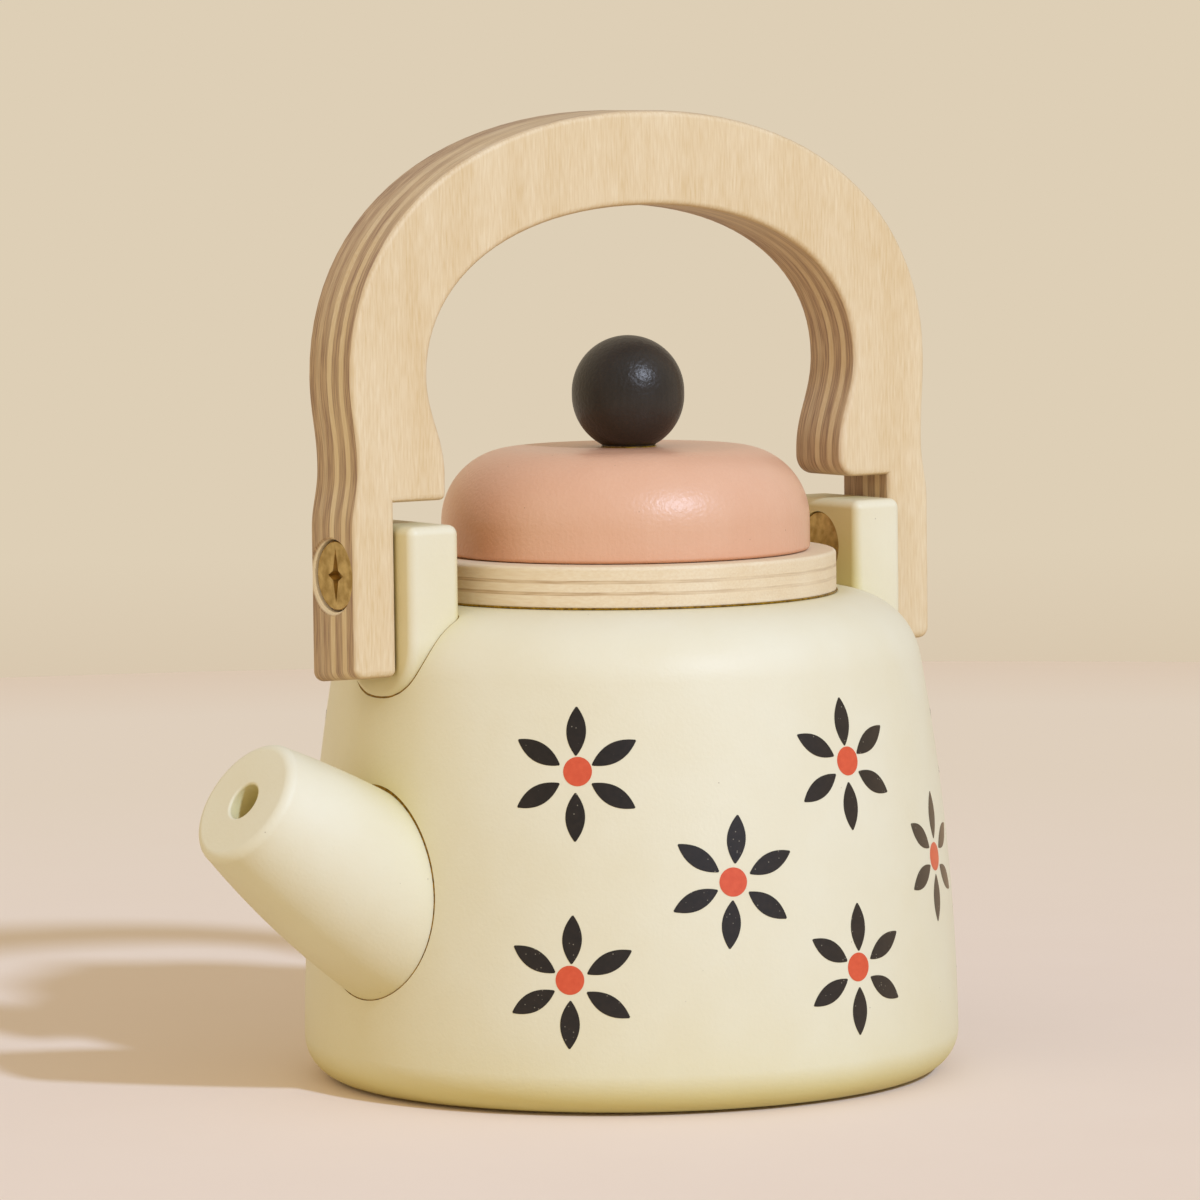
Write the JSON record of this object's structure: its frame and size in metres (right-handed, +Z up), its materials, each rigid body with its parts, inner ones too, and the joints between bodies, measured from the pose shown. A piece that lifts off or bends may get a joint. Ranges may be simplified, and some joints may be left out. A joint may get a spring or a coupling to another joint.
{
  "type": "toy kettle",
  "caption": "Wooden toy kettle with a rounded hollow body, angled spout, lift-off domed lid with ball knob, and a plywood arch handle that swings on brass bolts.",
  "frame": {"origin": "centre of the flat base, on the axis the body is turned about", "axes": "+Z up along the turned axis, -X along the spout, the handle standing in the XZ plane"},
  "size_m": [0.1242, 0.0976, 0.1428],
  "materials": {
    "cream_lacquer": "satin cream lacquer on turned wood",
    "birch_plywood": "clear-lacquered birch plywood, plies showing on the edges",
    "pink_lacquer": "satin salmon-pink lacquer on turned wood",
    "black_lacquer": "matte black lacquer on a turned ball",
    "brass": "brushed brass",
    "bare_beech": "bare beech"
  },
  "bodies": {
    "kettle": {"body": "cream_lacquer", "collar_ring": "birch_plywood", "spout": "cream_lacquer", "front_lug": "cream_lacquer", "rear_lug": "cream_lacquer", "front_lug_dowel": "bare_beech", "rear_lug_dowel": "bare_beech", "front_bolt": "brass", "rear_bolt": "brass", "front_barrel_nut": "brass", "rear_barrel_nut": "brass"},
    "handle": {"handle": "birch_plywood"},
    "lid": {"lid_dome": "pink_lacquer", "lid_knob": "black_lacquer", "lid_plug": "bare_beech", "knob_dowel": "bare_beech"}
  },
  "joints": [
    {"name": "handle_swing", "type": "hinge", "parent": "kettle", "child": "handle", "pos_m": [0, 0, 0.0766], "axis": [1, 0, 0], "range_deg": [-30, 30]},
    {"name": "lid_lift", "type": "slide", "parent": "kettle", "child": "lid", "axis": [0, 0, 1], "range_m": [0, 0.014]}
  ]
}
